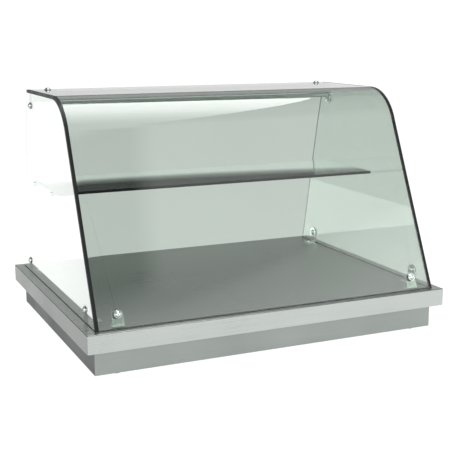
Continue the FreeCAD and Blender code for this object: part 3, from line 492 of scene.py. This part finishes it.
def angle_plate(foot, tab, width, lean, foot_hole, tab_hole):
    """A plate folded into a foot along +X and a round-topped tab, its corner at the origin.
    Holes are given by their distance from that corner."""
    turn = math.pi / 2 + lean
    set_back = FOLD * math.tan(turn / 2)
    fold_length = FOLD * turn
    half, corner, steps = width / 2, 2.6 * MM, 12
    flat_foot, tab_start = foot - set_back, foot - set_back + fold_length
    total = tab_start + tab - set_back

    def folded(across, along, depth):
        angle = min(max((along - flat_foot) / FOLD, 0), turn)
        reach = FOLD - depth
        x = set_back - reach * math.sin(angle)
        z = FOLD - reach * math.cos(angle)
        before, after = max(flat_foot - along, 0), max(along - tab_start, 0)
        return Vector((x + before - after * math.cos(turn), across, z + after * math.sin(turn)))

    bm = bmesh.new()
    filled(bm, arc(corner - half, corner, corner, 180, 270, 6)
           + arc(half - corner, corner, corner, 270, 360, 6)
           + [(half, flat_foot), (-half, flat_foot)],
           [(0, foot - foot_hole, BOLT_HOLE)])
    strips(bm, (-half, half), [flat_foot + fold_length * i / steps for i in range(steps + 1)])
    round_top = total - half
    filled(bm, [(-half, tab_start), (half, tab_start)] + arc(0, round_top, half, 0, 180, 24),
           [(0, tab_start + tab_hole - set_back, BOLT_HOLE)])
    thickened(bm, STEEL)
    shaped(bm, folded)
    return bm


def clip_places():
    """Name, corner, turn about Z and lean of the six clips at the foot of the glass."""
    pane_foot = pane_low.y - (pane_low.z - deck_z) * math.tan(LEAN)
    front_y = pane_foot + (gauge + GASKET) / math.cos(LEAN)
    places = []
    for hand, side in (("left", -1), ("right", 1)):
        clip_x = sum(corner.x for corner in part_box(f"front_clip_{hand}")) / 2
        places.append((f"front_clip_{hand}", Vector((clip_x, front_y, deck_z)), 90, LEAN))
        for end in ("front", "rear"):
            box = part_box(f"{hand}_clip_{end}")
            corner = Vector((side * face_x, (box[0].y + box[1].y) / 2, deck_z))
            places.append((f"{hand}_clip_{end}", corner, 0 if side < 0 else 180, 0))
    return places


def standing(corner, turn):
    return Matrix.Translation(corner) @ Matrix.Rotation(math.radians(turn), 4, "Z")


def clips():
    for name, corner, turn, lean in clip_places():
        bm = angle_plate(CLIP_FOOT, CLIP_TALL, CLIP_WIDTH, lean, FOOT_SCREW[lean > 0],
                         CLIP_SCREW_UP)
        bm.transform(standing(corner, turn))
        eased(piece(f"{name}_plate", bm, [CLIP], [name]), 0.3 * MM)


def bracket_place(side):
    """Corner of a rear bracket under the top glass, its foot turned inwards."""
    corner = Vector((side * face_x, bracket_y, rail_top + STEEL))
    turned = Matrix.Rotation(math.pi, 4, "X")
    return standing(corner, 0 if side < 0 else 180) @ turned


def brackets():
    for hand, side in (("left", -1), ("right", 1)):
        bm = angle_plate(BRACKET_REACH, BRACKET_DROP, BRACKET_WIDTH, 0, BRACKET_BOLT,
                         BRACKET_SCREW)
        bm.transform(bracket_place(side))
        eased(piece(f"rear_bracket_{hand}_plate", bm, [CLIP], [f"rear_bracket_{hand}"]), 0.3 * MM)


# Screws

def lathed(bm, profile, place, six_sided=(), segments=48):
    """Turns (radius, height) points about Z; the points in six_sided run round a hexagon."""
    rings = []
    for i, (radius, height) in enumerate(profile):
        if radius == 0:
            rings.append([bm.verts.new(place @ Vector((0, 0, height)))])
            continue
        ring = []
        for k in range(segments):
            angle = 2 * math.pi * k / segments
            flat = math.cos(math.pi / 6) / math.cos(angle % (math.pi / 3) - math.pi / 6)
            reach = radius * (flat if i in six_sided else 1)
            ring.append(bm.verts.new(place @ Vector((reach * math.cos(angle),
                                                     reach * math.sin(angle), height))))
        rings.append(ring)
    for low, high in zip(rings, rings[1:]):
        for k in range(segments):
            after = (k + 1) % segments
            corners = [low[k % len(low)], low[after % len(low)],
                       high[after % len(high)], high[k % len(high)]]
            bm.faces.new(dict.fromkeys(corners))


def dome(radius, rim, height, start=0.0, steps=10):
    """Crown of a round head, from its rim to the distance start from its axis."""
    crown = height - rim
    sphere = (radius * radius + crown * crown) / (2 * crown)
    reaches = [radius + (start - radius) * i / steps for i in range(steps + 1)]
    return [(reach, height - sphere + math.sqrt(sphere * sphere - reach * reach))
            for reach in reaches]


def button_head(bm, place, shank):
    """Round head with a raised rim, a low crown and a six-sided socket."""
    rim, crown = HEAD_RIM, HEAD_RADIUS - 1.5 * MM
    edge = [(HEAD_RADIUS, 0), (HEAD_RADIUS, rim - 0.25 * MM), (HEAD_RADIUS - 0.25 * MM, rim),
            (HEAD_RADIUS - 0.9 * MM, rim), (crown + 0.3 * MM, rim - 0.35 * MM)]
    top = dome(crown, rim - 0.35 * MM, HEAD_HEIGHT, SOCKET + 0.5 * MM)
    profile = [(0, -shank), (2.2 * MM, -shank), (THREAD, 0.3 * MM - shank), (THREAD, 0)]
    profile += edge + top
    first = len(profile)
    bottom = HEAD_HEIGHT - SOCKET
    profile += [(SOCKET, top[-1][1]), (SOCKET, bottom), (0, bottom - 0.4 * MM)]
    lathed(bm, profile, place, six_sided=(first, first + 1))


def cap_nut(bm, place):
    """Blind round nut: rim, smooth crown and an open bore behind."""
    bore = HEAD_HEIGHT - CAP_CROWN
    edge = [(THREAD, 0), (HEAD_RADIUS - 0.2 * MM, 0), (HEAD_RADIUS, 0.2 * MM)]
    lathed(bm, [(0, bore), (THREAD, bore)] + edge + dome(HEAD_RADIUS, HEAD_RIM, HEAD_HEIGHT),
           place)


def clamp_screws():
    """Places of the screws that clamp clips and brackets to the glass. Each place has its
    origin on the tab's glass face and its Z pointing out through the glass."""
    places = []
    for _, corner, turn, lean in clip_places():
        on_tab = Matrix.Rotation(lean, 4, "Y") @ Matrix.Translation((0, 0, CLIP_SCREW_UP))
        places.append(standing(corner, turn) @ on_tab @ Matrix.Rotation(-math.pi / 2, 4, "Y"))
    for side in (-1, 1):
        on_tab = Matrix.Translation((0, 0, BRACKET_SCREW)) @ Matrix.Rotation(-math.pi / 2, 4, "Y")
        places.append(bracket_place(side) @ on_tab)
    return places


def fasteners():
    stack = WASHER + gauge + GASKET
    spare = HEAD_HEIGHT - CAP_CROWN
    heads, caps, bolts = bmesh.new(), bmesh.new(), bmesh.new()
    for place in clamp_screws():
        head = Matrix.Translation((0, 0, stack))
        button_head(heads, place @ head, stack + STEEL + spare)
        behind = Matrix.Translation((0, 0, -STEEL)) @ Matrix.Rotation(math.pi, 4, "X")
        cap_nut(caps, place @ behind)
    for side in (-1, 1):
        spot = Vector((side * (face_x - BRACKET_BOLT), bracket_y, pane_high.z + WASHER))
        button_head(bolts, Matrix.Translation(spot), spot.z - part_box("top_bolts")[0].z)
    for name, bm, node, look in (("button_screws", heads, "glass_screws", HEADS),
                                 ("domed_caps", caps, "glass_cap_nuts", CHROME),
                                 ("button_bolts", bolts, "top_bolts", DARKENED_BOLT_PLATE)):
        thing = piece(name, bm, [look], [node])
        thing.data.set_sharp_from_angle(angle=math.radians(38))


def tie_rail():
    """Drawn rectangular tube with rounded corners between the rear brackets."""
    low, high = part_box("rear_top_rail")
    wall = 1.5 * MM
    bm = bmesh.new()
    rings = []
    for inset in (0, wall):
        corner = 2.5 * MM - inset
        y0, y1, z0, z1 = low.y + inset, high.y - inset, low.z + inset, high.z - inset
        spots = [(y1 - corner, z1 - corner, 0), (y0 + corner, z1 - corner, 90),
                 (y0 + corner, z0 + corner, 180), (y1 - corner, z0 + corner, 270)]
        outline = [p for y, z, turn in spots for p in arc(y, z, corner, turn, turn + 90, 6)]
        for x in (low.x, high.x):
            rings.append([bm.verts.new((x, y, z)) for y, z in outline])
    order = (0, 1, 3, 2, 0)
    for first, second in zip(order, order[1:]):
        for k in range(len(rings[0])):
            after = (k + 1) % len(rings[0])
            bm.faces.new((rings[first][k], rings[first][after],
                          rings[second][after], rings[second][k]))
    eased(piece("tie_rail", bm, [RAIL], ["rear_top_rail"]), 0.2 * MM, 1)


def coat_frame():
    """Gives each CAD node that stays in sight its material."""
    looks = {
        "deck_tray": SATIN, "plinth": PLINTH_SHADED_STEEL, "deck_stiffener": GALVANISED, "foot_": RUBBER,
        "glass_seal": RUBBER, "bracket_gasket": RUBBER, "clip_gaskets": PADS,
        "glass_washers": RUBBER, "top_washers": RUBBER, "deck_screws": CHROME,
        "deck_nuts": ZINC, "top_nuts": ZINC, "shelf_collars": CHROME, "shelf_pin": CHROME,
        "shelf_sleeve": SLEEVE,
    }
    for name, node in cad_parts.items():
        for start, material in looks.items():
            if name.startswith(start):
                for slot in node.material_slots:
                    slot.material = material


# Studio

def floor():
    """Wide pale floor that glows by itself, so that it stays white and free of shadows."""
    material, tree, shader = wired("studio_floor")
    cloud = noise(tree, mapped(tree), 3, 2)
    tree.links.new(blended(tree, cloud, (0.10, 0.10, 0.10), (0.12, 0.12, 0.12)),
                   shader.inputs["Base Color"])
    steady(shader, Roughness=0.9, Specular_IOR_Level=0.0, Emission_Color=(1, 1, 1, 1),
           Emission_Strength=0.96)
    bm = bmesh.new()
    bmesh.ops.create_circle(bm, cap_ends=True, segments=64, radius=30)
    mesh = bpy.data.meshes.new("floor")
    bm.to_mesh(mesh)
    bm.free()
    mesh.materials.append(material)
    ground = bpy.data.objects.new("floor", mesh)
    bpy.context.scene.collection.objects.link(ground)


def softbox(name, spot, size, radiance, turn=(0, 0, 0)):
    """A rectangular soft light that looks down, unless it is turned over, and that only
    shows in reflections."""
    light = bpy.data.lights.new(name, "AREA")
    light.shape = "RECTANGLE"
    light.size, light.size_y = size
    light.energy = radiance * math.pi * size[0] * size[1]
    lamp = bpy.data.objects.new(name, light)
    lamp.location = spot
    lamp.rotation_euler = turn
    lamp.visible_camera = False
    lamp.visible_transmission = False
    bpy.context.scene.collection.objects.link(lamp)


def lights():
    """A bank of lights overhead that fades towards the front, and a glowing panel that lies
    on the floor behind the case. Places and sizes are in metres."""
    overhead_glow, panel_glow, rear_depth = 7.5, 2.8, 1.0
    turn = math.radians(-15.4)
    across = Vector((math.cos(turn), math.sin(turn), 0))
    along = Vector((-math.sin(turn), math.cos(turn), 0))
    high, middle, width, edge, depth, strips_ahead = 2.5, 0.27, 1.8, -0.05, 0.27, 8
    spot = across * middle + along * (edge + rear_depth / 2) + Vector((0, 0, high))
    softbox("overhead", spot, (width, rear_depth), overhead_glow, (0, 0, turn))
    for i in range(strips_ahead):
        spot = across * middle + along * (edge - depth * (i + 0.5)) + Vector((0, 0, high))
        fading = (1 - (i + 0.5) / strips_ahead) ** 2
        softbox(f"overhead_{i}", spot, (width, depth), overhead_glow * fading, (0, 0, turn))
    softbox("low_panel", (-0.08, 1.15, 0.01), (0.66, 1.2), panel_glow, (math.pi, 0, 0))


def banded(tree, height, stops):
    """Grey glow that goes from level to level over the heights in stops (height, level)."""
    ramp = tree.nodes.new("ShaderNodeValToRGB")
    ramp.color_ramp.elements.remove(ramp.color_ramp.elements[1])
    for i, (spot, level) in enumerate(stops):
        stop = ramp.color_ramp.elements[0] if i == 0 else ramp.color_ramp.elements.new(spot)
        stop.position = spot
        stop.color = (level / BRIGHTEST, level / BRIGHTEST, level / BRIGHTEST, 1)
    tree.links.new(height, ramp.inputs["Fac"])
    return ramp.outputs["Color"]


def surroundings():
    """Glow that depends on direction. Behind the case it is white near the horizon, has a dark
    band above that and is grey higher up. In front it is brightest low down, with a dark area
    on the left."""
    world = bpy.data.worlds.new("studio")
    bpy.context.scene.world = world
    world.use_nodes = True
    tree = world.node_tree
    place = tree.nodes.new("ShaderNodeTexCoord")
    parts = tree.nodes.new("ShaderNodeSeparateXYZ")
    tree.links.new(place.outputs["Generated"], parts.inputs[0])

    rear = banded(tree, summed(tree, parts.outputs["Z"], parts.outputs["X"], 0.049),
                  [(0.0, 1.05), (0.055, 1.05), (0.075, 0.85), (0.1, 1.0), (0.12, 1.3),
                   (0.1665, 1.3), (0.1685, 0.06), (0.21, 0.08), (0.23, 0.4), (0.36, 0.55),
                   (0.64, 0.55), (0.75, 0.4)])
    low_glow = [(0.0, 3.3), (0.445, 3.3), (0.495, 2.1)]
    right = banded(tree, parts.outputs["Z"],
                   low_glow + [(0.505, 1.4), (0.655, 1.4), (0.8, 0.7)])
    left = banded(tree, parts.outputs["Z"],
                  low_glow + [(0.53, 0.2), (0.655, 0.2), (0.665, 1.4), (0.8, 0.7)])
    front = blended(tree, spread(tree, parts.outputs["X"], 0, 1, 0.318, 0.342), left, right)
    ahead = spread(tree, parts.outputs["Y"], 1, 0, -0.2, 0.2)
    glow = tree.nodes["Background"]
    tree.links.new(blended(tree, ahead, rear, front), glow.inputs["Color"])
    glow.inputs["Strength"].default_value = BRIGHTEST


def camera():
    """A camera that looks down on the case from its front left. Angles are in degrees."""
    down, turned = 11.781, 24.608
    lens = bpy.data.cameras.new("camera")
    lens.lens = 75.91
    lens.sensor_width = 36
    eye = bpy.data.objects.new("camera", lens)
    eye.location = (-0.8691, -1.9535, 0.6449)
    eye.rotation_euler = (math.radians(90 - down), 0, math.radians(-turned))
    bpy.context.scene.collection.objects.link(eye)
    bpy.context.scene.camera = eye


front_pane()
for hand_name, hand_side in (("left", -1), ("right", 1)):
    side_pane(hand_name, hand_side)
shelf_pane()
clips()
brackets()
fasteners()
tie_rail()
coat_frame()
floor()
surroundings()
lights()
camera()
bpy.context.scene.view_settings.view_transform = "Standard"

bpy.context.view_layer.update()
